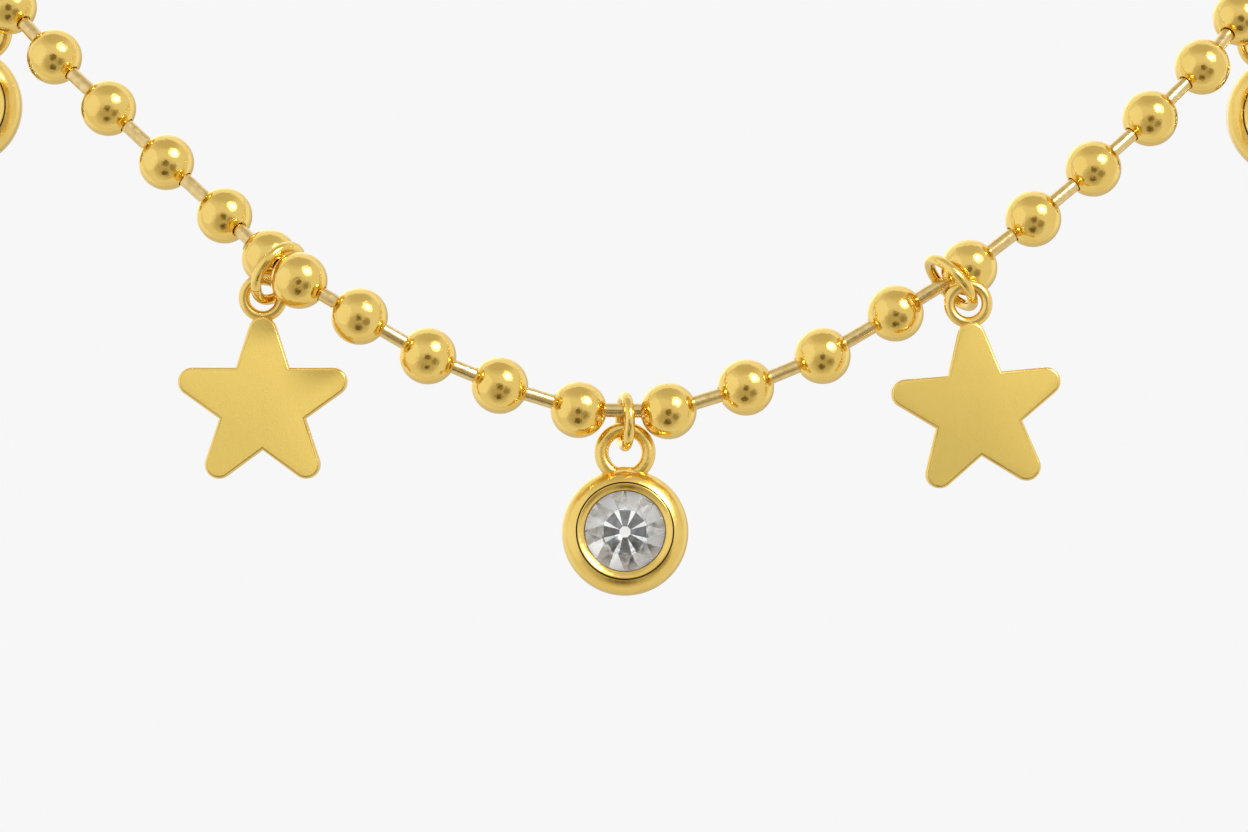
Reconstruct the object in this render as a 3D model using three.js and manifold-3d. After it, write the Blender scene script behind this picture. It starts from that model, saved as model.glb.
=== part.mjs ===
// A ball chain charm necklace, hanging as it does when worn, in millimetres.
// X points to the viewer's right, Y away from the viewer and Z up. The origin is behind the neck,
// where the necklace hangs, and the chain falls forward and down from it to its front centre.
import * as THREE from 'three';
import { ConvexGeometry } from 'three/addons/geometries/ConvexGeometry.js';
import { mergeVertices } from 'three/addons/utils/BufferGeometryUtils.js';
import Module from 'manifold-3d';

// Ball chain: hollow beads on short bars
const BEAD_DIAMETER = 4;
const BAR_DIAMETER = 1;
const BAR_LENGTH = 1.92;
const END_GAP = 0.6;

// Every piece keeps this clear of the one that it hangs on or holds
const GAP = 0.1;

// Jump rings
const RING_WIRE = 0.75;
const MAIN_RING_HOLE = 2.7;
const CHARM_RING_HOLE = 3.5;

// Round stones, set in pendants with a rounded rim, a groove and a collar that slopes to the stone
const STONE_DIAMETER = 6;
const STONE_TABLE_SHARE = 0.56;
const STONE_STAR_SHARE = 0.78;
const STONE_LOWER_SHARE = 0.24;
const STONE_CROWN_HEIGHT = 0.7;
const STONE_GIRDLE_HEIGHT = 0.15;
const STONE_PAVILION_DEPTH = 1.5;
const SETTING_LIP = 0.2;
const COLLAR_WIDTH = 0.6;
const COLLAR_EDGE = 0.05;
const COLLAR_SLOPE = 0.3;
const COLLAR_RISE = 0.1;
const GROOVE_WIDTH = 0.05;
const GROOVE_DEPTH = 0.15;
const RIM_WIDTH = 1;
const RIM_SLOPE_DEGREES = 12;
const BACK_THICKNESS = 0.45;
const BACK_ROUND = 0.4;
const PENDANT_LOOP_WIRE = 1;
const PENDANT_LOOP_HOLE = 2.3;

// Flat star charms
const STAR_RADIUS = 6.2;
const STAR_WAIST_RADIUS = 3.2;
const STAR_TIP_ROUND = 1;
const STAR_THICKNESS = 1.2;
const STAR_EDGE_ROUND = 0.2;
const STAR_POINTS = 5;
const CHARM_LOOP_WIRE = 0.78;
const CHARM_LOOP_HOLE = 1.85;

// Plain sleeve that joins the two ends behind the neck
const CLASP_WALL = 0.5;
const CLASP_CLEARANCE = 0.35;

// How finely round forms are cut into flat faces
const CHAIN_SIDES = 10;
const BEAD_RINGS = 6;
const RING_SIDES = 16;
const WIRE_SIDES = 6;
const LOOP_SIDES = 20;
const LOOP_WIRE_SIDES = 8;
const PENDANT_SIDES = 28;
const RIM_STEPS = 5;
const STONE_FOLD = 8;
const CLASP_SIDES = 16;
const STAR_TIP_STEPS = 4;
const STAR_EDGE_STEPS = 2;

// Route of the chain: x, y, z from its front centre, once round from behind the neck by the left
const ROUTE = [
  [0, 113, 89],
  [-32, 104, 86],
  [-52, 83, 77],
  [-58.5, 56, 62],
  [-54, 32, 45],
  [-44.6, 14.2, 29.3],
  [-37.1, 9, 21.8],
  [-28.6, 6.2, 14],
  [-25.2, 2.9, 10.9],
  [-22.9, -1.3, 9.2],
  [-18.7, -2.2, 6.7],
  [-13.9, -1.6, 3.9],
  [-3.3, 0, 0.1],
  [0, 0, 0],
  [3, 0, 0],
  [13.7, 1.2, 3.8],
  [18.9, 1.4, 6.8],
  [24.1, 1.6, 10],
  [33.1, 4.7, 17.1],
  [41.3, 9.2, 24.6],
  [44.4, 12.6, 28.4],
  [54, 32, 45],
  [58.5, 56, 62],
  [52, 83, 77],
  [32, 104, 86],
];
const ROUTE_STEPS = 60;

// How much of a bar's length shows before each bead, from the front centre outwards. Past these
// the bars share what is left evenly. A charm draws its own bar out, or closes the bars up.
const BARS_SHOWN = {
  left: [0.66, 0.95, 0.77, 0.8, 0.53, 0.55, 0.87, 1, 1, 1.03],
  right: [0.54, 0.9, 0.98, 1.02, 1.1, 1, 1.02, 1, 1.05],
};

// Where each charm hangs. Its ring lies on the bar that leads outwards from bead number bead of
// its side, the beads being counted from the front centre, and bead 0 is the front centre itself.
// drop leads from the bar's middle to the ring's centre, in shares of the ring's hole radius, and
// reach from there to the middle of the charm's loop, in shares of the ring's mean radius. axis is
// the ring's own axis. In degrees, lean brings the charm's foot away from the viewer and tilt
// brings it to the left.
const HANGINGS = {
  main: {
    form: 'pendant', hole: MAIN_RING_HOLE, side: 'right', bead: 0,
    drop: [0, 0.04, -0.55], axis: [1, 0.19, 0], reach: [0, 0.23, -1.25], lean: 4, tilt: 0,
  },
  star_left: {
    form: 'star', hole: CHARM_RING_HOLE, side: 'left', bead: 5,
    drop: [-0.22, -0.38, -0.18], axis: [0.71, -0.5, -0.5], reach: [-0.52, 0.22, -0.8], lean: 0, tilt: 0,
  },
  star_right: {
    form: 'star', hole: CHARM_RING_HOLE, side: 'right', bead: 4,
    drop: [0.73, -0.62, 0.3], axis: [0.71, 0.27, 0.65], reach: [0.54, -0.46, -0.7], lean: 0, tilt: -5,
  },
  side_left: {
    form: 'pendant', hole: CHARM_RING_HOLE, side: 'left', bead: 11,
    drop: [0.02, 0.21, -0.61], axis: [0.84, -0.48, -0.25], reach: [-0.39, 0.1, -1.16], lean: 0, tilt: 17,
  },
  side_right: {
    form: 'pendant', hole: CHARM_RING_HOLE, side: 'right', bead: 10,
    drop: [0.21, 0.03, -0.54], axis: [0.81, 0.51, 0.3], reach: [0.26, 0.23, -1.12], lean: 0, tilt: -17,
  },
};

const BEAD_RADIUS = BEAD_DIAMETER / 2;
const BAR_RADIUS = BAR_DIAMETER / 2;
const PITCH = BEAD_DIAMETER + BAR_LENGTH;

// Radii of the setting, and its heights towards the viewer from the upper edge of the stone's girdle
const STONE_RADIUS = STONE_DIAMETER / 2;
const POCKET_RADIUS = STONE_RADIUS + GAP;
const OPENING_RADIUS = STONE_RADIUS - SETTING_LIP;
const COLLAR_RADIUS = OPENING_RADIUS + COLLAR_WIDTH;
const PENDANT_RADIUS = COLLAR_RADIUS + GROOVE_WIDTH + RIM_WIDTH;
const RIM_SLOPE = THREE.MathUtils.degToRad(RIM_SLOPE_DEGREES);
const RIM_RADIUS = RIM_WIDTH / (1 - Math.sin(RIM_SLOPE));
const CROWN_SLOPE = STONE_CROWN_HEIGHT / (STONE_RADIUS * (1 - STONE_TABLE_SHARE));
const LIP_HEIGHT = SETTING_LIP * CROWN_SLOPE + GAP;
const COLLAR_HEIGHT = LIP_HEIGHT + COLLAR_EDGE + COLLAR_SLOPE;
const RIM_HEIGHT = COLLAR_HEIGHT - COLLAR_RISE;
const POCKET_BOTTOM = -STONE_GIRDLE_HEIGHT - STONE_PAVILION_DEPTH - GAP;
const BACK_HEIGHT = POCKET_BOTTOM - BACK_THICKNESS;

const QUARTER_TURN = Math.PI / 2;

const UP = new THREE.Vector3(0, 0, 1);
const RING_AXIS = new THREE.Vector3(0, 1, 0);
const polishedGold = { color: 0xd9a52e, metalness: 1, roughness: 0.15 };
const satinGold = { color: 0xd8ae4c, metalness: 1, roughness: 0.5 };
const clearCrystal = { color: 0xeef1f4, metalness: 0, roughness: 0.05 };

const wasm = await Module();
wasm.setup();

// Merges shared corners and drops the faces that have no area, so that a solid is closed
function weld(geometry) {
  const bare = geometry.clone();
  bare.deleteAttribute('normal');
  bare.deleteAttribute('uv');
  const merged = mergeVertices(bare);
  const faces = merged.index.array;
  const kept = [];
  for (let i = 0; i < faces.length; i += 3) {
    const [a, b, c] = [faces[i], faces[i + 1], faces[i + 2]];
    if (a !== b && b !== c && c !== a) kept.push(a, b, c);
  }
  merged.setIndex(kept);
  return merged;
}

function toManifold(geometry) {
  const closed = weld(geometry);
  const vertProperties = new Float32Array(closed.attributes.position.array);
  const triVerts = new Uint32Array(closed.index.array);
  return new wasm.Manifold(new wasm.Mesh({ numProp: 3, vertProperties, triVerts }));
}

function toGeometry(manifold) {
  const { vertProperties, triVerts } = manifold.getMesh();
  const geometry = new THREE.BufferGeometry();
  geometry.setAttribute('position', new THREE.BufferAttribute(vertProperties, 3));
  geometry.setIndex(new THREE.BufferAttribute(triVerts, 1));
  return geometry;
}

function join(first, second) {
  return toGeometry(toManifold(first).add(toManifold(second)));
}

function profile(points) {
  return points.map(([radius, height]) => new THREE.Vector2(radius, height));
}

// A wire ring whose own axis is RING_AXIS
function makeWireRing(wireDiameter, innerDiameter, sides, wireSides) {
  const wireRadius = wireDiameter / 2;
  const ring = new THREE.TorusGeometry(innerDiameter / 2 + wireRadius, wireRadius, wireSides, sides);
  return ring.rotateX(QUARTER_TURN);
}

// The route as close points, first and last alike behind the neck
function sampleRoute() {
  const corners = ROUTE.map((point) => new THREE.Vector3(...point));
  return new THREE.CatmullRomCurve3(corners, true).getPoints(ROUTE.length * ROUTE_STEPS);
}

// Sets beads along a path from the front centre to behind the neck, one bar apart
function placeBeads(path, barsShown) {
  const placed = [];
  let here = path[0];
  let next = 1;
  const step = (distance) => {
    while (next < path.length - 1 && path[next].distanceTo(here) < distance) next += 1;
    const before = path[next - 1].distanceTo(here);
    const after = path[next].distanceTo(here);
    here = path[next - 1].clone().lerp(path[next], (distance - before) / (after - before));
    placed.push(here);
  };
  barsShown.forEach((share, i) => step((i ? BEAD_DIAMETER : BEAD_RADIUS) + share * BAR_LENGTH));
  let left = path[next].distanceTo(here) - (BEAD_DIAMETER + END_GAP) / 2;
  for (let i = next + 1; i < path.length; i += 1) left += path[i].distanceTo(path[i - 1]);
  const count = Math.round(left / PITCH);
  for (let i = 0; i < count; i += 1) step(left / count);
  return placed;
}

// The string's rings of corners, each with its centre, direction and radius. Every bead has a few,
// from the bar that leads into it to the bar that leads out, and the string closes at both ends.
function makeStations(string) {
  const stations = [];
  const mouth = Math.asin(BAR_RADIUS / BEAD_RADIUS);
  string.forEach((bead, i) => {
    const into = i > 0 ? bead.clone().sub(string[i - 1]).normalize() : null;
    const out = i < string.length - 1 ? string[i + 1].clone().sub(bead).normalize() : null;
    const from = into ?? out;
    const to = out ?? into;
    for (let k = 0; k < BEAD_RINGS; k += 1) {
      const share = k / (BEAD_RINGS - 1);
      const angle = mouth + share * (Math.PI - 2 * mouth);
      const along = from.clone().lerp(to, share).normalize();
      const centre = bead.clone().addScaledVector(along, -BEAD_RADIUS * Math.cos(angle));
      stations.push({ centre, along, radius: BEAD_RADIUS * Math.sin(angle) });
    }
  });
  const first = stations[0];
  const last = stations[stations.length - 1];
  return [{ ...first, radius: 0 }, ...stations, { ...last, radius: 0 }];
}

// A straight lathed string whose rings of corners are then carried to their places on the route
function makeBallChain(string) {
  const stations = makeStations(string);
  const section = profile(stations.map(({ radius }, i) => [radius, i]));
  const chain = new THREE.LatheGeometry(section, CHAIN_SIDES);
  const position = chain.attributes.position;
  let across = new THREE.Vector3().crossVectors(stations[0].along, UP);
  const frames = stations.map(({ centre, along }) => {
    across = across.clone().addScaledVector(along, -across.dot(along)).normalize();
    const third = new THREE.Vector3().crossVectors(across, along);
    return new THREE.Matrix4().makeBasis(across, along, third).setPosition(centre);
  });
  const corner = new THREE.Vector3();
  for (let i = 0; i < position.count; i += 1) {
    const station = i % stations.length;
    corner.fromBufferAttribute(position, i).setY(0).applyMatrix4(frames[station]);
    position.setXYZ(i, corner.x, corner.y, corner.z);
  }
  return weld(chain);
}

// A round brilliant, from its culet up: 8 main facets and 16 halves below the girdle, and 8 kites,
// 16 halves, 8 stars and the table above it
function makeStone() {
  const table = STONE_RADIUS * STONE_TABLE_SHARE;
  const star = STONE_RADIUS * STONE_STAR_SHARE;
  const lower = STONE_RADIUS * STONE_LOWER_SHARE;
  const half = Math.PI / STONE_FOLD;
  const starHeight = CROWN_SLOPE * (STONE_RADIUS - star * Math.cos(half));
  const lowerDepth = STONE_PAVILION_DEPTH * (1 - (lower * Math.cos(half)) / STONE_RADIUS);
  const corners = [new THREE.Vector3(0, -STONE_GIRDLE_HEIGHT - STONE_PAVILION_DEPTH, 0)];
  const addCorner = (radius, height, turn) => {
    corners.push(new THREE.Vector3(radius * Math.sin(turn), height, radius * Math.cos(turn)));
  };
  for (let k = 0; k < STONE_FOLD; k += 1) {
    const turn = 2 * half * k;
    addCorner(table, STONE_CROWN_HEIGHT, turn);
    addCorner(star, starHeight, turn + half);
    addCorner(lower, -STONE_GIRDLE_HEIGHT - lowerDepth, turn + half);
    for (const way of [turn, turn + half]) {
      addCorner(STONE_RADIUS, 0, way);
      addCorner(STONE_RADIUS, -STONE_GIRDLE_HEIGHT, way);
    }
  }
  return new ConvexGeometry(corners);
}

// Half section of the round setting, as radii and heights. It runs from the middle of the back out
// round the rim, over the groove, the collar and the lip, and down into the stone's pocket.
function settingProfile() {
  const rim = [];
  for (let k = 0; k <= RIM_STEPS; k += 1) {
    const angle = ((QUARTER_TURN - RIM_SLOPE) * k) / RIM_STEPS;
    const radius = PENDANT_RADIUS - RIM_RADIUS * (1 - Math.cos(angle));
    rim.push([radius, RIM_HEIGHT - RIM_RADIUS * (Math.cos(RIM_SLOPE) - Math.sin(angle))]);
  }
  return [
    [0, BACK_HEIGHT],
    [PENDANT_RADIUS - BACK_ROUND, BACK_HEIGHT],
    [PENDANT_RADIUS, BACK_HEIGHT + BACK_ROUND],
    ...rim,
    [COLLAR_RADIUS, RIM_HEIGHT - GROOVE_DEPTH],
    [COLLAR_RADIUS, COLLAR_HEIGHT],
    [OPENING_RADIUS, LIP_HEIGHT + COLLAR_EDGE],
    [OPENING_RADIUS, LIP_HEIGHT],
    [POCKET_RADIUS, GAP],
    [POCKET_RADIUS, -STONE_GIRDLE_HEIGHT - GAP],
    [0, POCKET_BOTTOM],
  ];
}

// Turns a form lathed upwards to face the viewer and hangs it below its loop, which stays at 0
function hangFacing(geometry) {
  const middle = (RIM_HEIGHT + BACK_HEIGHT) / 2;
  const below = PENDANT_RADIUS + PENDANT_LOOP_HOLE / 2;
  return geometry.rotateX(2 * QUARTER_TURN).translate(0, middle, -below);
}

function makePendant() {
  const setting = hangFacing(new THREE.LatheGeometry(profile(settingProfile()), PENDANT_SIDES));
  const loop = makeWireRing(PENDANT_LOOP_WIRE, PENDANT_LOOP_HOLE, LOOP_SIDES, LOOP_WIRE_SIDES);
  return join(setting, loop);
}

// A star with rounded tips. Each tip is an arc whose ends run straight into the waists beside it.
function makeStarCharm() {
  const tipCentre = STAR_RADIUS - STAR_TIP_ROUND;
  const half = Math.PI / STAR_POINTS;
  const aside = STAR_WAIST_RADIUS * Math.sin(half);
  const inwards = tipCentre - STAR_WAIST_RADIUS * Math.cos(half);
  const touch = Math.acos(STAR_TIP_ROUND / Math.hypot(aside, inwards));
  const spread = Math.PI - Math.atan2(aside, inwards) - touch;
  const outline = new THREE.Shape();
  for (let k = 0; k < STAR_POINTS; k += 1) {
    const way = QUARTER_TURN + 2 * half * k;
    const waist = new THREE.Vector2(STAR_WAIST_RADIUS, 0).rotateAround(new THREE.Vector2(), way - half);
    if (k > 0) outline.lineTo(waist.x, waist.y);
    else outline.moveTo(waist.x, waist.y);
    const [x, y] = [tipCentre * Math.cos(way), tipCentre * Math.sin(way)];
    outline.absarc(x, y, STAR_TIP_ROUND, way - spread, way + spread, false);
  }
  outline.closePath();
  const plate = new THREE.ExtrudeGeometry(outline, {
    depth: STAR_THICKNESS - 2 * STAR_EDGE_ROUND,
    bevelThickness: STAR_EDGE_ROUND,
    bevelSize: STAR_EDGE_ROUND,
    bevelOffset: -STAR_EDGE_ROUND,
    bevelSegments: STAR_EDGE_STEPS,
    curveSegments: STAR_TIP_STEPS,
  });
  plate.translate(0, 0, STAR_EDGE_ROUND - STAR_THICKNESS / 2).rotateX(QUARTER_TURN);
  plate.translate(0, 0, -STAR_RADIUS - (CHARM_LOOP_HOLE + CHARM_LOOP_WIRE) / 2);
  const loop = makeWireRing(CHARM_LOOP_WIRE, CHARM_LOOP_HOLE, LOOP_SIDES, LOOP_WIRE_SIDES);
  return join(plate, loop);
}

// A sleeve round the two end beads, open at both ends for the bars and slotted along its underside
function makeClasp(span) {
  const inner = BEAD_RADIUS + CLASP_CLEARANCE;
  const outer = inner + CLASP_WALL;
  const mouth = BAR_RADIUS + CLASP_CLEARANCE;
  const inside = span / 2 + inner;
  const end = inside + CLASP_WALL;
  const sleeve = new THREE.LatheGeometry(profile([
    [mouth, -end], [outer, -end], [outer, end], [mouth, end],
    [mouth, inside], [inner, inside], [inner, -inside], [mouth, -inside], [mouth, -end],
  ]), CLASP_SIDES);
  const deep = outer + CLASP_WALL;
  const slot = new THREE.BoxGeometry(2 * mouth, 2 * (end + CLASP_WALL), deep).translate(0, 0, -deep / 2);
  return toGeometry(toManifold(sleeve).subtract(toManifold(slot))).rotateZ(-QUARTER_TURN);
}

const necklace = new THREE.Group();
const fromFront = new THREE.Group();
fromFront.position.set(...ROUTE[0]).negate();
necklace.add(fromFront);

function addMesh(parent, name, geometry, look) {
  const mesh = new THREE.Mesh(geometry, new THREE.MeshStandardMaterial(look));
  mesh.name = name;
  parent.add(mesh);
  return mesh;
}

const route = sampleRoute();
const front = ROUTE_STEPS * ROUTE.findIndex((point) => point.every((distance) => distance === 0));
const beads = {
  left: placeBeads(route.slice(0, front + 1).reverse(), BARS_SHOWN.left),
  right: placeBeads(route.slice(front), BARS_SHOWN.right),
};
const wholeString = [...beads.left].reverse().concat(beads.right);
addMesh(fromFront, 'ball_chain', makeBallChain(wholeString), polishedGold);

const leftEnd = beads.left[beads.left.length - 1];
const rightEnd = beads.right[beads.right.length - 1];
const clasp = addMesh(fromFront, 'clasp', makeClasp(leftEnd.distanceTo(rightEnd)), polishedGold);
clasp.position.copy(leftEnd).lerp(rightEnd, 0.5);

// Hangs a jump ring on the chain and returns the group that carries the charm, at the charm's loop
function hang(name, { hole, side, bead, drop, axis, reach, lean, tilt }) {
  const middle = route[front].clone();
  if (bead > 0) middle.lerpVectors(beads[side][bead - 1], beads[side][bead], 0.5);
  const centre = middle.addScaledVector(new THREE.Vector3(...drop), hole / 2);
  const wire = makeWireRing(RING_WIRE, hole, RING_SIDES, WIRE_SIDES);
  const ring = addMesh(fromFront, `${name}_ring`, wire, polishedGold);
  ring.position.copy(centre);
  ring.quaternion.setFromUnitVectors(RING_AXIS, new THREE.Vector3(...axis).normalize());
  const charm = new THREE.Group();
  charm.position.copy(centre).addScaledVector(new THREE.Vector3(...reach), (hole + RING_WIRE) / 2);
  charm.rotation.set(-THREE.MathUtils.degToRad(lean), THREE.MathUtils.degToRad(tilt), 0);
  fromFront.add(charm);
  return charm;
}

for (const [name, place] of Object.entries(HANGINGS)) {
  const charm = hang(name, place);
  if (place.form === 'star') {
    addMesh(charm, `${name}_charm`, makeStarCharm(), satinGold);
  } else {
    addMesh(charm, `${name}_pendant`, makePendant(), polishedGold);
    addMesh(charm, `${name}_stone`, hangFacing(makeStone()), clearCrystal);
  }
}

export default necklace;
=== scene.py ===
"""A gold ball chain necklace with star charms and round stone pendants, hanging as when worn."""

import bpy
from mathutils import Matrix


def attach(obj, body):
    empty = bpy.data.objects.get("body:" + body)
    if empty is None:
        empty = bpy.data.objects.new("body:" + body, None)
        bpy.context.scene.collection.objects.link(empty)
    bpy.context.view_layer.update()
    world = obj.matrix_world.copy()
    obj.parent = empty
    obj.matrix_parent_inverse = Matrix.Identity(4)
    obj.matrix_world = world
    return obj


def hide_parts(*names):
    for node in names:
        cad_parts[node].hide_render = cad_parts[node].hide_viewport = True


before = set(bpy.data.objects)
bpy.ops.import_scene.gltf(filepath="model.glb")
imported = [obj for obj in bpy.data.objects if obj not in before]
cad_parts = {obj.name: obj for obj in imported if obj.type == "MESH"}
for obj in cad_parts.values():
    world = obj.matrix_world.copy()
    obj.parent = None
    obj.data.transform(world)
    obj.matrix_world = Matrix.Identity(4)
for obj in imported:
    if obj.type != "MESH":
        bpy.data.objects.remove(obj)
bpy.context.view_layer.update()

import math

import bmesh
import bpy
import numpy as np
from mathutils import Matrix, Vector

# Sizes are in millimetres, as the part's own source gives them, and meshes are scaled to metres
MM = 0.001

BEAD_DIAMETER = 4
BAR_DIAMETER = 1
BAR_LENGTH = 1.92
END_GAP = 0.6
GAP = 0.1
RING_WIRE = 0.75
MAIN_RING_HOLE = 2.7
CHARM_RING_HOLE = 3.5
STONE_DIAMETER = 6
STONE_TABLE_SHARE = 0.56
STONE_STAR_SHARE = 0.78
STONE_CROWN_HEIGHT = 0.7
STONE_GIRDLE_HEIGHT = 0.15
STONE_PAVILION_DEPTH = 1.5
STONE_FOLD = 8
SETTING_LIP = 0.2
COLLAR_WIDTH = 0.6
COLLAR_EDGE = 0.05
COLLAR_SLOPE = 0.3
COLLAR_RISE = 0.1
GROOVE_WIDTH = 0.05
GROOVE_DEPTH = 0.15
RIM_WIDTH = 1
BACK_THICKNESS = 0.45
BACK_ROUND = 0.4
PENDANT_LOOP_WIRE = 1
PENDANT_LOOP_HOLE = 2.3
STAR_RADIUS = 6.2
STAR_WAIST_RADIUS = 3.2
STAR_TIP_ROUND = 1
STAR_THICKNESS = 1.2
STAR_EDGE_ROUND = 0.2
STAR_POINTS = 5
CHARM_LOOP_WIRE = 0.78
CHARM_LOOP_HOLE = 1.85
CLASP_WALL = 0.5
CLASP_CLEARANCE = 0.35

# Fine details that the part's own source leaves out
MOUTH_CLEARANCE = 0.07
MOUTH_LIP = 0.06
MOUTH_DEPTH = 0.3
RING_SEAM = 0.04
COLLAR_ROUND = 0.05
COLLAR_BULGE = math.radians(15)
GROOVE_FLOOR_WIDTH = 0.03
GROOVE_CLEARANCE = 0.05
CLASP_EDGE_ROUND = 0.1

# The rim falls more steeply to the groove than in the part's own source, by under 0.1 mm of form
RIM_SLOPE = math.radians(20)

# Half widths of the solder bead, across, through and up the pendant
SOLDER = (1.5, 0.42, 0.32)

# Rings of the stone's back, each as a share of its radius and of its depth, and half the turn
# that a main facet takes up in the first
MAIN_FACETS = (0.52, 0.5)
CULET = (0.14, 0.84)
MAIN_FACET_HALF = math.radians(16)

# How far back a facet has to face to be backed with foil, and where the outer foils change
FOIL_TILT = 0.1
FOIL_TURN = 0.25

# How finely round forms are cut
CHAIN_SIDES = 36
BEAD_RINGS = 20
LIP_STEPS = 3
COLLAR_STEPS = 12
RING_STEPS = 72
WIRE_SIDES = 20
SETTING_SIDES = 120
RIM_STEPS = 16
STAR_TIP_STEPS = 16
STAR_EDGE_STEPS = 4
CLASP_SIDES = 64
ROUTE_STEPS = 60
SMOOTH_ANGLE = math.radians(32)

# Route of the chain from behind the neck, once round by the viewer's left
ROUTE = [
    (0, 113, 89), (-32, 104, 86), (-52, 83, 77), (-58.5, 56, 62), (-54, 32, 45),
    (-44.6, 14.2, 29.3), (-37.1, 9, 21.8), (-28.6, 6.2, 14), (-25.2, 2.9, 10.9),
    (-22.9, -1.3, 9.2), (-18.7, -2.2, 6.7), (-13.9, -1.6, 3.9), (-3.3, 0, 0.1), (0, 0, 0),
    (3, 0, 0), (13.7, 1.2, 3.8), (18.9, 1.4, 6.8), (24.1, 1.6, 10), (33.1, 4.7, 17.1),
    (41.3, 9.2, 24.6), (44.4, 12.6, 28.4), (54, 32, 45), (58.5, 56, 62), (52, 83, 77),
    (32, 104, 86),
]
NAPE = Vector(ROUTE[0])
FRONT_POINT = ROUTE.index((0, 0, 0))

# How much of a bar's length shows before each bead, from the front centre outwards
BARS_SHOWN = {
    "left": (0.66, 0.95, 0.77, 0.8, 0.53, 0.55, 0.87, 1, 1, 1.03),
    "right": (0.54, 0.9, 0.98, 1.02, 1.1, 1, 1.02, 1, 1.05),
}

# Where each charm hangs. Its ring lies on the bar that leads outwards from bead number bead of its
# side, the beads being counted from the front centre, and bead 0 is the front centre itself. drop
# leads from the bar's middle to the ring's centre, in shares of the ring's hole radius, and reach
# from there to the middle of the charm's loop, in shares of the ring's mean radius. axis is the
# ring's own axis. In degrees, lean brings the charm's foot away from the viewer and tilt brings
# it to the left
HANGINGS = {
    "main": dict(
        form="pendant", hole=MAIN_RING_HOLE, side="right", bead=0,
        drop=(0, 0.04, -0.55), axis=(1, 0.19, 0),
        reach=(0, 0.23, -1.25), lean=4, tilt=0,
    ),
    "star_left": dict(
        form="star", hole=CHARM_RING_HOLE, side="left", bead=5,
        drop=(-0.22, -0.38, -0.18), axis=(0.71, -0.5, -0.5),
        reach=(-0.52, 0.22, -0.8), lean=0, tilt=0,
    ),
    "star_right": dict(
        form="star", hole=CHARM_RING_HOLE, side="right", bead=4,
        drop=(0.73, -0.62, 0.3), axis=(0.71, 0.27, 0.65),
        reach=(0.54, -0.46, -0.7), lean=0, tilt=-5,
    ),
    "side_left": dict(
        form="pendant", hole=CHARM_RING_HOLE, side="left", bead=11,
        drop=(0.02, 0.21, -0.61), axis=(0.84, -0.48, -0.25),
        reach=(-0.39, 0.1, -1.16), lean=0, tilt=17,
    ),
    "side_right": dict(
        form="pendant", hole=CHARM_RING_HOLE, side="right", bead=10,
        drop=(0.21, 0.03, -0.54), axis=(0.81, 0.51, 0.3),
        reach=(0.26, 0.23, -1.12), lean=0, tilt=-17,
    ),
}

BEAD_RADIUS = BEAD_DIAMETER / 2
BAR_RADIUS = BAR_DIAMETER / 2
PITCH = BEAD_DIAMETER + BAR_LENGTH
STONE_RADIUS = STONE_DIAMETER / 2
POCKET_RADIUS = STONE_RADIUS + GAP
OPENING_RADIUS = STONE_RADIUS - SETTING_LIP
COLLAR_RADIUS = OPENING_RADIUS + COLLAR_WIDTH
COLLAR_FOOT = COLLAR_RADIUS - GROOVE_CLEARANCE
PENDANT_RADIUS = COLLAR_RADIUS + GROOVE_WIDTH + RIM_WIDTH
RIM_RADIUS = RIM_WIDTH / (1 - math.sin(RIM_SLOPE))
CROWN_SLOPE = STONE_CROWN_HEIGHT / (STONE_RADIUS * (1 - STONE_TABLE_SHARE))
LIP_HEIGHT = SETTING_LIP * CROWN_SLOPE + GAP
COLLAR_HEIGHT = LIP_HEIGHT + COLLAR_EDGE + COLLAR_SLOPE
RIM_HEIGHT = COLLAR_HEIGHT - COLLAR_RISE
POCKET_BOTTOM = -STONE_GIRDLE_HEIGHT - STONE_PAVILION_DEPTH - GAP
BACK_HEIGHT = POCKET_BOTTOM - BACK_THICKNESS


# Materials

# The middle part of the noise's range, over which a value or a colour changes
VALUE_SPREAD = (0.3, 0.7)
COLOUR_SPREAD = (0.35, 0.65)
NOISE_DETAIL = 3


def new_material(name):
    material = bpy.data.materials.new(name)
    material.use_nodes = True
    nodes = material.node_tree.nodes
    return material, nodes, material.node_tree.links, nodes["Principled BSDF"]


def add_noise(nodes, links, grain):
    """Noise whose grains are about as wide as the given millimetres."""
    coordinates = nodes.new("ShaderNodeTexCoord")
    noise = nodes.new("ShaderNodeTexNoise")
    noise.inputs["Scale"].default_value = 1 / (grain * MM)
    noise.inputs["Detail"].default_value = NOISE_DETAIL
    links.new(coordinates.outputs["Object"], noise.inputs["Vector"])
    return noise.outputs["Fac"]


def spread(nodes, links, value, low, high):
    """Spreads noise over a range of values."""
    ranged = nodes.new("ShaderNodeMapRange")
    ranged.inputs["From Min"].default_value = VALUE_SPREAD[0]
    ranged.inputs["From Max"].default_value = VALUE_SPREAD[1]
    ranged.inputs["To Min"].default_value = low
    ranged.inputs["To Max"].default_value = high
    links.new(value, ranged.inputs["Value"])
    return ranged.outputs["Result"]


def blend_colours(nodes, links, value, first, second):
    ramp = nodes.new("ShaderNodeValToRGB")
    for stop, place, colour in zip(ramp.color_ramp.elements, COLOUR_SPREAD, (first, second)):
        stop.position = place
        stop.color = (*colour, 1)
    links.new(value, ramp.inputs["Fac"])
    return ramp.outputs["Color"]


def add_bump(nodes, links, value, shader, strength, depth):
    bump = nodes.new("ShaderNodeBump")
    bump.inputs["Strength"].default_value = strength
    bump.inputs["Distance"].default_value = depth * MM
    links.new(value, bump.inputs["Height"])
    links.new(bump.outputs["Normal"], shader.inputs["Normal"])


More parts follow.
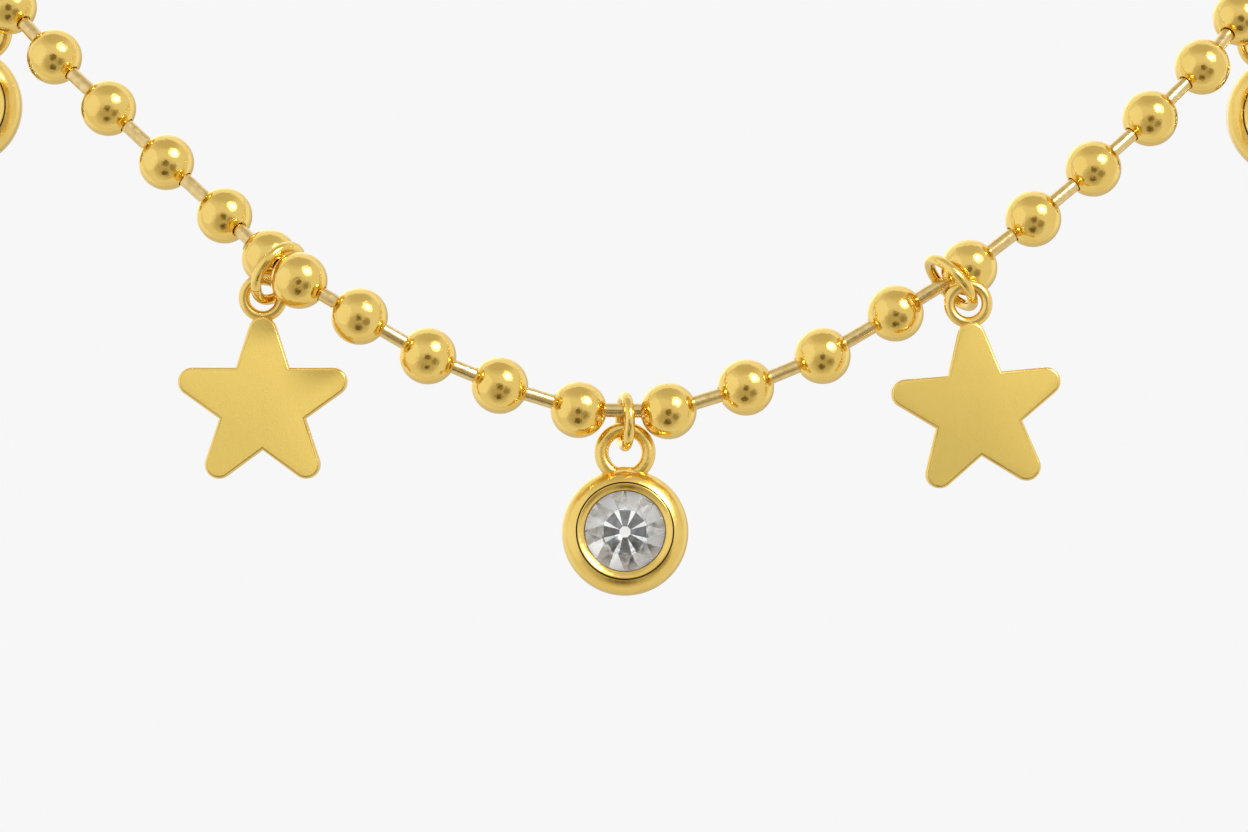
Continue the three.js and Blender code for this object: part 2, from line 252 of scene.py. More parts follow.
def metal(name, light, deep, roughness, cloud, grain, strength, depth):
    """A metal whose colour and gloss vary in soft clouds over a fine waviness or grain.

    Cloud and grain are widths and depth is the grain's height, all in millimetres.
    """
    material, nodes, links, shader = new_material(name)
    shader.inputs["Metallic"].default_value = 1
    clouds = add_noise(nodes, links, cloud)
    links.new(blend_colours(nodes, links, clouds, deep, light), shader.inputs["Base Color"])
    links.new(spread(nodes, links, clouds, *roughness), shader.inputs["Roughness"])
    add_bump(nodes, links, add_noise(nodes, links, grain), shader, strength, depth)
    return material


def crystal(cloud, roughness):
    """Clear crystal under a thin coat that reflects."""
    material, nodes, links, shader = new_material("crystal")
    shader.inputs["Base Color"].default_value = (0.98, 0.985, 0.99, 1)
    shader.inputs["Transmission Weight"].default_value = 1
    shader.inputs["IOR"].default_value = 1.3
    shader.inputs["Coat Weight"].default_value = 0.6
    shader.inputs["Coat Roughness"].default_value = 0.02
    clouds = add_noise(nodes, links, cloud)
    links.new(spread(nodes, links, clouds, *roughness), shader.inputs["Roughness"])
    return material


POLISHED = metal(
    "polished_gold", light=(0.91, 0.665, 0.2), deep=(0.885, 0.63, 0.175),
    roughness=(0.05, 0.11), cloud=1.2, grain=0.4, strength=0.6, depth=0.04,
)
SOFT_GOLD = metal(
    "soft_gold", light=(0.91, 0.665, 0.2), deep=(0.87, 0.615, 0.165),
    roughness=(0.17, 0.25), cloud=1.2, grain=0.3, strength=0.5, depth=0.03,
)
# Dark gold that paints the shade in the pendant's groove and round the stone's lip
PAINTED_SHADE_GOLD = metal(
    "painted_shade_gold", light=(0.34, 0.2, 0.05), deep=(0.24, 0.13, 0.03),
    roughness=(0.3, 0.45), cloud=0.8, grain=0.12, strength=0.1, depth=0.01,
)
BAR_METAL = metal(
    "bar_gold", light=(0.86, 0.68, 0.34), deep=(0.74, 0.54, 0.22),
    roughness=(0.14, 0.26), cloud=0.4, grain=0.15, strength=0.6, depth=0.02,
)
# Satin gold for each star, the right star's copy darker as painted shade
SATIN_AND_PAINTED_SHADE = {
    "star_left": metal(
        "satin_gold", light=(0.885, 0.71, 0.228), deep=(0.845, 0.67, 0.21),
        roughness=(0.66, 0.74), cloud=0.1, grain=0.08, strength=0.6, depth=0.02,
    ),
    # The same satin gold with painted shade, for a star turned away from the light
    "star_right": metal(
        "painted_shade_satin", light=(0.76, 0.6, 0.185), deep=(0.725, 0.565, 0.17),
        roughness=(0.66, 0.74), cloud=0.1, grain=0.08, strength=0.6, depth=0.02,
    ),
}
SATIN_EDGE = metal(
    "satin_edge", light=(0.93, 0.69, 0.23), deep=(0.89, 0.64, 0.2),
    roughness=(0.2, 0.28), cloud=1, grain=0.12, strength=0.3, depth=0.015,
)
BRIGHT_FOIL = metal(
    "bright_foil", light=(0.96, 0.98, 1), deep=(0.9, 0.93, 0.97),
    roughness=(0.02, 0.06), cloud=0.6, grain=0.2, strength=0.1, depth=0.01,
)
GREY_FOIL = metal(
    "grey_foil", light=(0.97, 0.98, 1), deep=(0.76, 0.77, 0.8),
    roughness=(0.1, 0.2), cloud=0.5, grain=0.2, strength=0.1, depth=0.01,
)
# Dark foil that paints the dark reflection of the room's front into the stone's main facets
PAINTED_REFLECTION_FOIL = metal(
    "painted_reflection_foil", light=(0.26, 0.265, 0.28), deep=(0.15, 0.155, 0.165),
    roughness=(0.05, 0.12), cloud=0.35, grain=0.2, strength=0.1, depth=0.01,
)
FROSTED_FOIL = metal(
    "frosted_foil", light=(0.99, 0.99, 0.99), deep=(0.95, 0.95, 0.96),
    roughness=(0.5, 0.6), cloud=0.6, grain=0.2, strength=0.1, depth=0.01,
)
CRYSTAL = crystal(cloud=0.4, roughness=(0, 0.02))
STONE_MATERIALS = (CRYSTAL, BRIGHT_FOIL, GREY_FOIL, PAINTED_REFLECTION_FOIL, FROSTED_FOIL)


# Pieces

def make_piece(name, points, faces, node, body, materials, face_slots=None):
    """Makes a piece in metres from points in millimetres, riding on a body in place of a node."""
    mesh = bpy.data.meshes.new(name)
    mesh.from_pydata([tuple(point) for point in np.asarray(points) * MM], [], faces)
    for material in materials:
        mesh.materials.append(material)
    if face_slots is not None:
        mesh.polygons.foreach_set("material_index", face_slots)
    face_outwards(mesh)
    shade(mesh)
    return add_piece(name, mesh, node, body)


def add_piece(name, mesh, node, body):
    piece = bpy.data.objects.new(name, mesh)
    bpy.context.collection.objects.link(piece)
    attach(piece, body)
    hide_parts(node)
    return piece


def face_outwards(mesh):
    form = bmesh.new()
    form.from_mesh(mesh)
    bmesh.ops.recalc_face_normals(form, faces=form.faces)
    form.to_mesh(mesh)
    form.free()


def shade(mesh):
    mesh.shade_smooth()
    mesh.set_sharp_from_angle(angle=SMOOTH_ANGLE)


def fuse(piece, other):
    """Joins another piece's mesh into this one as one solid."""
    union = piece.modifiers.new("union", "BOOLEAN")
    union.operation = "UNION"
    union.solver = "EXACT"
    union.object = other
    bpy.context.view_layer.update()
    evaluated = piece.evaluated_get(bpy.context.evaluated_depsgraph_get())
    whole = bpy.data.meshes.new_from_object(evaluated)
    piece.modifiers.clear()
    piece.data = whole
    bpy.data.objects.remove(other)
    shade(whole)


def join_rings(count, sides, closed=False):
    """Four-sided faces between rings of points, with both ends filled unless the rings close."""
    faces = []
    for ring in range(count if closed else count - 1):
        low = ring * sides
        high = (ring + 1) % count * sides
        for side in range(sides):
            turn = (side + 1) % sides
            faces.append((low + side, low + turn, high + turn, high + side))
    if not closed:
        faces.append(tuple(range(sides)))
        faces.append(tuple(range((count - 1) * sides, count * sides)))
    return faces


def lathe(outline, sides):
    """Turns an outline of radii and heights about the height's axis, which faces the viewer."""
    count = len(outline)
    points = []
    faces = []
    for step in range(sides):
        turn = 2 * math.pi * step / sides
        points += [
            (radius * math.sin(turn), -height, radius * math.cos(turn))
            for radius, height in outline
        ]
        here = step * count
        there = (step + 1) % sides * count
        faces += [(here + i, here + i + 1, there + i + 1, there + i) for i in range(count - 1)]
    for end in (0, count - 1):
        faces.append(tuple(step * count + end for step in range(sides)))
    return np.array(points), faces


def wire_ring(wire, hole, seam=0):
    """A wire ring about the Y axis, cut by a hairline seam where one is given."""
    radius = (hole + wire) / 2
    gap = seam / radius / 2
    steps = RING_STEPS + 1 if seam else RING_STEPS
    points = []
    for step in range(steps):
        way = gap + (2 * math.pi - 2 * gap) * step / RING_STEPS - math.pi / 2
        for side in range(WIRE_SIDES):
            turn = 2 * math.pi * side / WIRE_SIDES
            out = radius + wire / 2 * math.cos(turn)
            aside = wire / 2 * math.sin(turn)
            points.append((out * math.cos(way), aside, out * math.sin(way)))
    return np.array(points), join_rings(steps, WIRE_SIDES, closed=not seam)


def placed(points, matrix):
    return np.array([matrix @ Vector(point) for point in points])


# The chain's route and beads

def sample_route():
    """The route as close points on a smooth closed curve, as the part's source draws it."""
    corners = np.array(ROUTE, float)
    count = len(corners)
    points = []
    for k in range(count):
        before, here, there, after = (corners[(k + step) % count] for step in (-1, 0, 1, 2))
        first, second, third = (
            np.linalg.norm(b - a) ** 0.5
            for a, b in ((before, here), (here, there), (there, after))
        )
        into = (there - before) / (first + second)
        out = (after - here) / (second + third)
        leave = ((here - before) / first - into + (there - here) / second) * second
        reach = ((there - here) / second - out + (after - there) / third) * second
        for step in range(ROUTE_STEPS):
            t = step / ROUTE_STEPS
            square = -3 * here + 3 * there - 2 * leave - reach
            cube = 2 * here - 2 * there + leave + reach
            points.append(here + leave * t + square * t**2 + cube * t**3)
    points.append(corners[0])
    return np.array(points)


def place_beads(path, bars_shown):
    """Sets beads along a path from the front centre to behind the neck, one bar apart."""
    beads = []
    here = path[0]
    nearest = 1

    def step(distance):
        nonlocal here, nearest
        while nearest < len(path) - 1 and np.linalg.norm(path[nearest] - here) < distance:
            nearest += 1
        near, far = path[nearest - 1], path[nearest]
        before = np.linalg.norm(near - here)
        after = np.linalg.norm(far - here)
        here = near + (far - near) * (distance - before) / (after - before)
        beads.append(here)

    for index, share in enumerate(bars_shown):
        step((BEAD_DIAMETER if index else BEAD_RADIUS) + share * BAR_LENGTH)
    rest = np.linalg.norm(path[nearest] - here) - (BEAD_DIAMETER + END_GAP) / 2
    rest += np.linalg.norm(np.diff(path[nearest:], axis=0), axis=1).sum()
    count = round(rest / PITCH)
    for _ in range(count):
        step(rest / count)
    return beads


def unit(vector):
    return vector / np.linalg.norm(vector)


def chain_stations(string):
    """Rings of the chain: centre, direction, radius and whether the ring begins a bar.

    A bead is round from the lip of one mouth to the lip of the other, and each bar comes out of
    the bottom of a mouth that is a little wider than the bar.
    """
    stations = []
    mouth_radius = BAR_RADIUS + MOUTH_CLEARANCE
    lip_angle = math.asin((mouth_radius + MOUTH_LIP) / BEAD_RADIUS)
    wall = BEAD_RADIUS * math.cos(lip_angle)
    lip = []
    for step in range(LIP_STEPS):
        turn = step / LIP_STEPS * math.pi / 2
        sink = MOUTH_LIP * (1 - math.sin(turn))
        lip.append((wall - sink, mouth_radius + MOUTH_LIP * (1 - math.cos(turn))))
    last = len(string) - 1
    for index, bead in enumerate(string):
        into = unit(bead - string[index - 1]) if index > 0 else None
        out = unit(string[index + 1] - bead) if index < last else None
        into = out if into is None else into
        out = into if out is None else out
        if index > 0:
            bottom = bead - (wall - MOUTH_DEPTH) * into
            stations.append((bottom, into, BAR_RADIUS, False))
            stations.append((bottom, into, mouth_radius, False))
        stations += [(bead - depth * into, into, radius, False) for depth, radius in lip]
        for ring in range(BEAD_RINGS):
            share = ring / (BEAD_RINGS - 1)
            angle = lip_angle + share * (math.pi - 2 * lip_angle)
            along = unit(into * (1 - share) + out * share)
            centre = bead - BEAD_RADIUS * math.cos(angle) * along
            stations.append((centre, along, BEAD_RADIUS * math.sin(angle), False))
        stations += [(bead + depth * out, out, radius, False) for depth, radius in reversed(lip)]
        if index < last:
            bottom = bead + (wall - MOUTH_DEPTH) * out
            stations.append((bottom, out, mouth_radius, False))
            stations.append((bottom, out, BAR_RADIUS, True))
    return stations


def make_chain(string):
    stations = chain_stations(string)
    turns = np.arange(CHAIN_SIDES) * 2 * math.pi / CHAIN_SIDES
    across = unit(np.cross(stations[0][1], (0, 0, 1)))
    points = []
    slots = []
    for centre, along, radius, begins_bar in stations:
        across = unit(across - across.dot(along) * along)
        third = np.cross(across, along)
        circle = np.outer(np.cos(turns), across) + np.outer(np.sin(turns), third)
        points.append(centre + radius * circle)
        slots += [int(begins_bar)] * CHAIN_SIDES
    # Behind the last ring there are only the faces that fill the chain's two ends
    slots[-CHAIN_SIDES:] = [0, 0]
    make_piece(
        "bead_string", np.concatenate(points) - np.array(NAPE),
        join_rings(len(stations), CHAIN_SIDES), "ball_chain", "necklace",
        [POLISHED, BAR_METAL], slots,
    )


def make_clasp(ends):
    """A slotted sleeve round the two end beads, with rounded outer edges."""
    span = np.linalg.norm(ends[1] - ends[0])
    inner = BEAD_RADIUS + CLASP_CLEARANCE
    outer = inner + CLASP_WALL
    mouth = BAR_RADIUS + CLASP_CLEARANCE
    inside = span / 2 + inner
    end = inside + CLASP_WALL
    half = [(mouth, end)]
    for step in range(RIM_STEPS + 1):
        turn = math.pi / 2 * (1 - step / RIM_STEPS)
        half.append((
            outer - CLASP_EDGE_ROUND * (1 - math.cos(turn)),
            end - CLASP_EDGE_ROUND * (1 - math.sin(turn)),
        ))
    outline = half + [(radius, -height) for radius, height in reversed(half)]
    outline += [(mouth, -inside), (inner, -inside), (inner, inside), (mouth, inside)]
    opening = 2 * math.asin(mouth / outer)
    points = []
    for step in range(CLASP_SIDES + 1):
        turn = math.pi + opening / 2 + (2 * math.pi - opening) * step / CLASP_SIDES
        points += [
            (height, radius * math.sin(turn), radius * math.cos(turn))
            for radius, height in outline
        ]
    middle = Matrix.Translation((Vector(ends[0]) + Vector(ends[1])) / 2 - NAPE)
    faces = join_rings(CLASP_SIDES + 1, len(outline))
    make_piece("clasp_sleeve", placed(points, middle), faces, "clasp", "necklace", [POLISHED])


# Charms

def collar_face():
    """The collar's rounded face, from its outer edge at the groove to its lip over the stone."""
    face = []
    for step in range(LIP_STEPS + 1):
        turn = math.pi / 2 * step / LIP_STEPS
        face.append((
            COLLAR_FOOT - COLLAR_ROUND * (1 - math.cos(turn)),
            COLLAR_HEIGHT - COLLAR_ROUND * (1 - math.sin(turn)),
        ))
    width = COLLAR_FOOT - COLLAR_ROUND - OPENING_RADIUS
    slope = math.atan2(COLLAR_SLOPE, width)
    radius = math.hypot(width, COLLAR_SLOPE) / 2 / math.sin(COLLAR_BULGE)
    start = slope - COLLAR_BULGE
    for step in range(1, COLLAR_STEPS + 1):
        turn = start + 2 * COLLAR_BULGE * step / COLLAR_STEPS
        face.append((
            COLLAR_FOOT - COLLAR_ROUND - radius * (math.sin(turn) - math.sin(start)),
            COLLAR_HEIGHT - radius * (math.cos(start) - math.cos(turn)),
        ))
    return face


def setting_profile():
    """Half outline of the round setting, from its back over the rim to the stone's pocket."""
    outline = [(GAP, BACK_HEIGHT)]
    for step in range(RIM_STEPS + 1):
        turn = math.pi / 2 * step / RIM_STEPS
        outline.append((
            PENDANT_RADIUS - BACK_ROUND * (1 - math.sin(turn)),
            BACK_HEIGHT + BACK_ROUND * (1 - math.cos(turn)),
        ))
    for step in range(2 * RIM_STEPS + 1):
        turn = (math.pi / 2 - RIM_SLOPE) * step / (2 * RIM_STEPS)
        outline.append((
            PENDANT_RADIUS - RIM_RADIUS * (1 - math.cos(turn)),
            RIM_HEIGHT - RIM_RADIUS * (math.cos(RIM_SLOPE) - math.sin(turn)),
        ))
    groove_floor = RIM_HEIGHT - GROOVE_DEPTH
    outline.append((COLLAR_FOOT + GROOVE_FLOOR_WIDTH, groove_floor))
    outline.append((COLLAR_FOOT, groove_floor))
    outline += collar_face()
    outline.append((OPENING_RADIUS, LIP_HEIGHT))
    outline.append((POCKET_RADIUS, GAP))
    outline.append((POCKET_RADIUS, -STONE_GIRDLE_HEIGHT - GAP))
    outline.append((GAP, POCKET_BOTTOM))
    return outline


def hang_facing(points):
    """Moves a form that faces the viewer to hang below its loop, which stays at 0."""
    below = PENDANT_RADIUS + PENDANT_LOOP_HOLE / 2
    return points + np.array([0, (RIM_HEIGHT + BACK_HEIGHT) / 2, -below])


def solder_bead():
    """A flattened bead of solder that fills the corners where the loop stands on the setting."""
    points = []
    for ring in range(1, WIRE_SIDES):
        away = math.pi * ring / WIRE_SIDES
        for side in range(WIRE_SIDES):
            turn = 2 * math.pi * side / WIRE_SIDES
            out = math.sin(away)
            points.append((math.cos(away), out * math.cos(turn), out * math.sin(turn)))
    below = (0, 0, -(PENDANT_LOOP_HOLE + SOLDER[2]) / 2)
    return np.array(points) * SOLDER + below, join_rings(WIRE_SIDES - 1, WIRE_SIDES)


def make_pendant(name, place, body):
    """A setting with its loop and their solder in one, with shade painted dark in the groove and at
    the lip.
    """
    node = f"{name}_pendant"
    outline = setting_profile()
    points, faces = lathe(outline, SETTING_SIDES)
    count = len(outline)
    groove = outline.index((COLLAR_FOOT, RIM_HEIGHT - GROOVE_DEPTH))
    lip = outline.index((OPENING_RADIUS, LIP_HEIGHT))
    # A face gets painted shade when it begins at one of these corners of the outline
    painted_shade_corners = [*range(groove - 2, groove + 1), *range(lip - 3, lip)]
    slots = [
        int(len(face) == 4 and min(corner % count for corner in face) in painted_shade_corners) for face in faces
    ]
    setting = make_piece(
        f"{name}_setting", placed(hang_facing(points), place), faces, node, body,
        [SOFT_GOLD, PAINTED_SHADE_GOLD], slots,
    )
    for part, (points, faces) in {
        "loop": wire_ring(PENDANT_LOOP_WIRE, PENDANT_LOOP_HOLE),
        "solder": solder_bead(),
    }.items():
        fuse(setting, make_piece(part, placed(points, place), faces, node, body, [SOFT_GOLD]))


def stone_corners(half):
    """Corners of a round brilliant that faces the viewer, half being half of one of its folds."""
    star = STONE_RADIUS * STONE_STAR_SHARE
    star_height = CROWN_SLOPE * (STONE_RADIUS - star * math.cos(half))
    rings = [
        (STONE_RADIUS * STONE_TABLE_SHARE, STONE_CROWN_HEIGHT, (0,)),
        (star, star_height, (half,)),
        (STONE_RADIUS, 0, (0, half)),
        (STONE_RADIUS, -STONE_GIRDLE_HEIGHT, (0, half)),
    ]
    for (share, depth), aside in ((MAIN_FACETS, MAIN_FACET_HALF), (CULET, half)):
        height = -STONE_GIRDLE_HEIGHT - STONE_PAVILION_DEPTH * depth
        rings.append((STONE_RADIUS * share, height, (-aside, aside)))
    corners = []
    for radius, height, asides in rings:
        for step in range(STONE_FOLD):
            for aside in asides:
                way = 2 * half * step + aside
                corners.append((radius * math.sin(way), -height, -radius * math.cos(way)))
    return np.unique(np.round(corners, 6), axis=0)


def make_stone(name, place, body):
    """A round brilliant whose back is foiled in several tones, the dark foil on its main facets
    being a painted reflection.
    """
    half = math.pi / STONE_FOLD
    form = bmesh.new()
    for point in stone_corners(half):
        form.verts.new(point)
    bmesh.ops.convex_hull(form, input=form.verts)
    mesh = bpy.data.meshes.new(f"{name}_cut_stone")
    form.to_mesh(mesh)
    form.free()
    for material in STONE_MATERIALS:
        mesh.materials.append(material)
    for face in mesh.polygons:
        if face.normal.y > FOIL_TILT:
            face.material_index = STONE_MATERIALS.index(foil_behind(face, half))
    points = np.array([vertex.co for vertex in mesh.vertices])
    for vertex, point in zip(mesh.vertices, placed(hang_facing(points), place)):
        vertex.co = point * MM
    add_piece(f"{name}_cut_stone", mesh, f"{name}_stone", body)


def foil_behind(face, half):
    """Which foil backs a facet of the stone, by how far out it is and which way it faces."""
    out = math.hypot(face.center.x, face.center.z) / STONE_RADIUS
    if out < CULET[0] * math.cos(half):
        return FROSTED_FOIL
    if out < MAIN_FACETS[0]:
        way = math.atan2(face.normal.x, -face.normal.z)
        aside = abs((way + half) % (2 * half) - half)
        # The main facets get the dark foil as a painted reflection, the rest bright foil
        return PAINTED_REFLECTION_FOIL if aside < MAIN_FACET_HALF / 2 else BRIGHT_FOIL
    way = math.atan2(face.center.x, -face.center.z)
    return (GREY_FOIL, FROSTED_FOIL)[math.floor(way / half + FOIL_TURN) % 2]


def star_outline():
    """Corners of the star's outline in turn, with an arc at each tip."""
    tip_centre = STAR_RADIUS - STAR_TIP_ROUND
    half = math.pi / STAR_POINTS
    aside = STAR_WAIST_RADIUS * math.sin(half)
    inwards = tip_centre - STAR_WAIST_RADIUS * math.cos(half)
    tangent = math.acos(STAR_TIP_ROUND / math.hypot(aside, inwards))
    spread_angle = math.pi - math.atan2(aside, inwards) - tangent
    outline = []
    for point in range(STAR_POINTS):
        way = math.pi / 2 + 2 * half * point
        waist = way - half
        outline.append((STAR_WAIST_RADIUS * math.cos(waist), STAR_WAIST_RADIUS * math.sin(waist)))
        for step in range(STAR_TIP_STEPS + 1):
            turn = way + spread_angle * (2 * step / STAR_TIP_STEPS - 1)
            outline.append((
                tip_centre * math.cos(way) + STAR_TIP_ROUND * math.cos(turn),
                tip_centre * math.sin(way) + STAR_TIP_ROUND * math.sin(turn),
            ))
    return np.array(outline)


def inset(outline, distance):
    """Moves a closed outline inwards, keeping its sides parallel."""
    before = outline - np.roll(outline, 1, axis=0)
    after = np.roll(outline, -1, axis=0) - outline
    before /= np.linalg.norm(before, axis=1)[:, None]
    after /= np.linalg.norm(after, axis=1)[:, None]
    left_before = np.stack([-before[:, 1], before[:, 0]], axis=1)
    left_after = np.stack([-after[:, 1], after[:, 0]], axis=1)
    middle = left_before + left_after
    middle /= (middle * left_before).sum(axis=1)[:, None]
    return outline + distance * middle


def make_star(name, place, body):
    """A flat satin star with rounded edges and its loop in one."""
    node = f"{name}_charm"
    materials = [SATIN_AND_PAINTED_SHADE[name], SATIN_EDGE]
    outline = star_outline()
    below = STAR_RADIUS + (CHARM_LOOP_HOLE + CHARM_LOOP_WIRE) / 2
    half = STAR_THICKNESS / 2
    layers = []
    for step in range(STAR_EDGE_STEPS + 1):
        turn = math.pi / 2 * step / STAR_EDGE_STEPS
        depth = STAR_EDGE_ROUND * (1 - math.sin(turn))
        layers.append((depth, half - STAR_EDGE_ROUND * (1 - math.cos(turn))))
    layers += [(depth, -height) for depth, height in reversed(layers)]
    points = []
    for depth, height in layers:
        points += [(x, -height, z - below) for x, z in inset(outline, depth)]
    faces = join_rings(len(layers), len(outline))
    slots = [1] * (len(faces) - 2) + [0, 0]
    plate = make_piece(
        f"{name}_plate", placed(points, place), faces, node, body, materials, slots,
    )
    points, faces = wire_ring(CHARM_LOOP_WIRE, CHARM_LOOP_HOLE)
    slots = [1] * len(faces)
    fuse(plate, make_piece("loop", placed(points, place), faces, node, body, materials, slots))


def hang(name, beads, front, hanging):
    """Hangs a jump ring on the chain and returns the charm's place, at the charm's loop."""
    side = beads[hanging["side"]]
    bead = hanging["bead"]
    middle = Vector((side[bead - 1] + side[bead]) / 2) if bead else Vector(front)
    centre = middle - NAPE + Vector(hanging["drop"]) * hanging["hole"] / 2
    turn = Vector((0, 1, 0)).rotation_difference(Vector(hanging["axis"]).normalized())
    matrix = Matrix.Translation(centre) @ turn.to_matrix().to_4x4()
    points, faces = wire_ring(RING_WIRE, hanging["hole"], RING_SEAM)
    body = "main_ring" if name == "main" else "necklace"
    make_piece(f"{name}_jump_ring", placed(points, matrix), faces, f"{name}_ring", body, [POLISHED])
    loop = centre + Vector(hanging["reach"]) * (hanging["hole"] + RING_WIRE) / 2
    lean = Matrix.Rotation(-math.radians(hanging["lean"]), 4, "X")
    tilt = Matrix.Rotation(math.radians(hanging["tilt"]), 4, "Y")
    return Matrix.Translation(loop) @ lean @ tilt


# Studio

# Directions of the studio's parts, as the clock angle seen in a bead from the right side by the
# top, and the angle away from the camera, both in degrees
SOFTBOX = (48, 53)
CAMERA_LENS = (-90, 5)
CAMERA_STAND = (-94, 47)
DARK_FRONT = (-95, 34)
DARK_ASIDE = (-35, 40)
CEILING_GAP = (90, 88)
LIGHT_PANEL = (172, 68)
BEHIND = (0, 180)
BEHIND_BELOW = (-80, 150)
BEHIND_ASIDE = (20, 165)
BEHIND_LAMP = (125, 158)

# The room's light, and its soft round patches: a direction, the degrees from it within which the
# patch is even and beyond which it ends, and its light. That is a share of the room's light where
# a patch dims it, and light of its own where it adds to it
ROOM_WHITE = 0.84
FRONT_PATCH = (DARK_FRONT, 14, 54, 0.62)
DIM_PATCHES = (
    (CAMERA_LENS, 4, 17, 0.36),
    (CAMERA_STAND, 3, 17, 0.3),
    (DARK_ASIDE, 2, 20, 0.54),
    (CEILING_GAP, 12, 50, 0.74),
)
PANEL_PATCH = (LIGHT_PANEL, 33, 37, 0.14)
BACKDROP_PATCH = (BEHIND, 71, 78, 1)
BEHIND_PATCHES = (
    (BEHIND_BELOW, 5, 60, 0.68),
    (BEHIND_ASIDE, 5, 40, 0.8),
)
SOFTBOX_GLOW = (SOFTBOX, 7, 23, 2.2)
LAMP_GLOW = (BEHIND_LAMP, 5, 35, 0.5)

# The dimmer the studio's light, the warmer it is: the power of each colour's channel
WARMTH = {"Red": 1, "Green": 1.15, "Blue": 1.5}

SOFTBOX_DISTANCE = 500
SOFTBOX_WIDTH = 130
SOFTBOX_WATTS = 1.2
BACKDROP_WHITE = 0.93
CAMERA_DISTANCE = 450
CAMERA_ASIDE = -0.07
CAMERA_BELOW = -0.35
FRAME_WIDTH = 87.61
SENSOR_WIDTH = 36
FLOOR_DEPTH = 250
FLOOR_RADIUS = 1500
FLOOR_SIDES = 96
FLOOR_CLOUD = 40
FLOOR_TONES = (0.89, 0.92)
FLOOR_ROUGHNESS = 0.8


def direction(clock, away):
    clock, away = math.radians(clock), math.radians(away)
    out = math.sin(away)
    return Vector((out * math.cos(clock), -math.cos(away), out * math.sin(clock)))


def make_studio():
    """A white room that darkens softly round the camera, as polished beads reflect it."""
    world = bpy.data.worlds.new("studio")
    bpy.context.scene.world = world
    world.use_nodes = True
    nodes, links = world.node_tree.nodes, world.node_tree.links
    outwards = nodes.new("ShaderNodeTexCoord").outputs["Generated"]

    def patch(place, inner, outer, centre, edge):
        """A soft round patch, with one value in its middle and another at its edge and beyond."""
        facing = nodes.new("ShaderNodeVectorMath")
        facing.operation = "DOT_PRODUCT"
        facing.inputs[1].default_value = direction(*place)
        links.new(outwards, facing.inputs[0])
        soft = nodes.new("ShaderNodeMapRange")
        soft.interpolation_type = "SMOOTHSTEP"
        soft.inputs["From Min"].default_value = math.cos(math.radians(outer))
        soft.inputs["From Max"].default_value = math.cos(math.radians(inner))
        soft.inputs["To Min"].default_value = edge
        soft.inputs["To Max"].default_value = centre
        links.new(facing.outputs["Value"], soft.inputs["Value"])
        return soft.outputs["Result"]

    def combine(operation, first, second):
        node = nodes.new("ShaderNodeMath")
        node.operation = operation
        links.new(first, node.inputs[0])
        links.new(second, node.inputs[1])
        return node.outputs["Value"]

    place, inner, outer, share = FRONT_PATCH
    light = patch(place, inner, outer, ROOM_WHITE * share, ROOM_WHITE)
    for dim_patch in DIM_PATCHES:
        light = combine("MULTIPLY", light, patch(*dim_patch, 1))
    light = combine("ADD", light, patch(*PANEL_PATCH, 0))
    light = combine("MAXIMUM", light, patch(*BACKDROP_PATCH, 0))
    for dim_patch in BEHIND_PATCHES:
        light = combine("MULTIPLY", light, patch(*dim_patch, 1))
    glow = combine("ADD", patch(*SOFTBOX_GLOW, 0), patch(*LAMP_GLOW, 0))

    tinted = nodes.new("ShaderNodeCombineColor")
    for channel, warmth in WARMTH.items():
        power = nodes.new("ShaderNodeMath")
        power.operation = "POWER"
        power.inputs[1].default_value = warmth
        links.new(light, power.inputs[0])
        links.new(combine("ADD", power.outputs["Value"], glow), tinted.inputs[channel])

    background = nodes["Background"]
    shown = nodes.new("ShaderNodeMix")
    shown.data_type = "RGBA"
    shown.inputs["B"].default_value = (*[BACKDROP_WHITE] * 3, 1)
    links.new(nodes.new("ShaderNodeLightPath").outputs["Is Camera Ray"], shown.inputs["Factor"])
    links.new(tinted.outputs["Color"], shown.inputs["A"])
    links.new(shown.outputs["Result"], background.inputs["Color"])


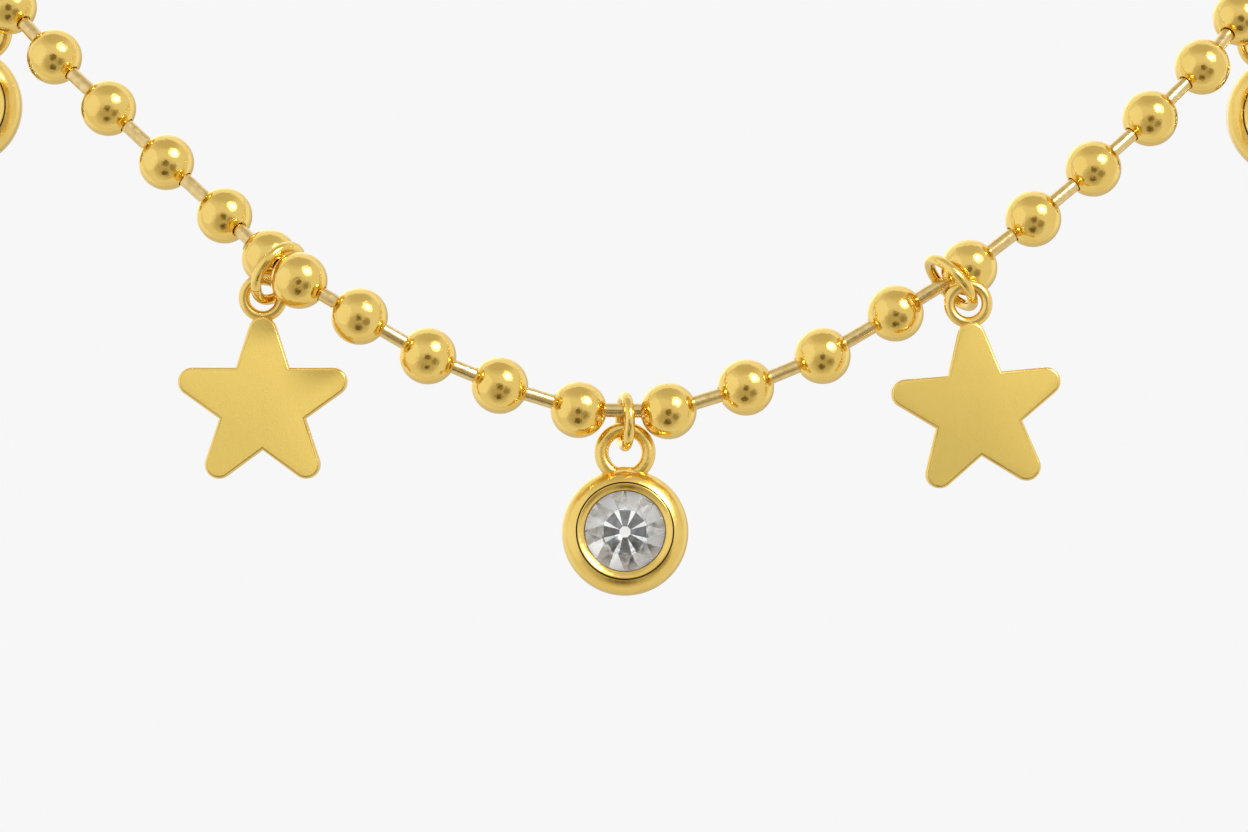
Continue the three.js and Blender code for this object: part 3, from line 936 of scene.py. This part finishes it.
def make_softbox():
    lamp = bpy.data.lights.new("softbox", "AREA")
    lamp.shape = "DISK"
    lamp.size = SOFTBOX_WIDTH * MM
    lamp.energy = SOFTBOX_WATTS
    softbox = bpy.data.objects.new("softbox", lamp)
    away = direction(*SOFTBOX)
    softbox.location = (away * SOFTBOX_DISTANCE - NAPE) * MM
    softbox.rotation_mode = "QUATERNION"
    softbox.rotation_quaternion = away.to_track_quat("Z", "Y")
    bpy.context.collection.objects.link(softbox)


def make_floor():
    bpy.ops.mesh.primitive_circle_add(
        vertices=FLOOR_SIDES, radius=FLOOR_RADIUS * MM, fill_type="NGON",
        location=(0, -NAPE.y * MM, -FLOOR_DEPTH * MM),
    )
    floor = bpy.context.object
    floor.name = "studio_floor"
    material, nodes, links, shader = new_material("pale_floor")
    clouds = add_noise(nodes, links, FLOOR_CLOUD)
    tone = blend_colours(nodes, links, clouds, *([grey] * 3 for grey in FLOOR_TONES))
    links.new(tone, shader.inputs["Base Color"])
    shader.inputs["Roughness"].default_value = FLOOR_ROUGHNESS
    floor.data.materials.append(material)
    floor.visible_glossy = False


def make_camera():
    data = bpy.data.cameras.new("camera")
    data.sensor_fit = "HORIZONTAL"
    data.sensor_width = SENSOR_WIDTH
    data.lens = SENSOR_WIDTH * CAMERA_DISTANCE / FRAME_WIDTH
    camera = bpy.data.objects.new("camera", data)
    place = Vector((CAMERA_ASIDE, -NAPE.y - CAMERA_DISTANCE, -NAPE.z + CAMERA_BELOW))
    camera.location = place * MM
    camera.rotation_euler = (math.pi / 2, 0, 0)
    bpy.context.collection.objects.link(camera)
    bpy.context.scene.camera = camera


def make_necklace():
    route = sample_route()
    front = FRONT_POINT * ROUTE_STEPS
    beads = {
        "left": place_beads(route[: front + 1][::-1], BARS_SHOWN["left"]),
        "right": place_beads(route[front:], BARS_SHOWN["right"]),
    }
    make_chain([*reversed(beads["left"]), *beads["right"]])
    make_clasp((beads["left"][-1], beads["right"][-1]))
    for name, hanging in HANGINGS.items():
        place = hang(name, beads, route[front], hanging)
        body = "main_pendant" if name == "main" else "necklace"
        if hanging["form"] == "star":
            make_star(name, place, body)
        else:
            make_pendant(name, place, body)
            make_stone(name, place, body)


make_camera()
make_studio()
make_softbox()
make_floor()
make_necklace()
bpy.context.scene.view_settings.view_transform = "Standard"
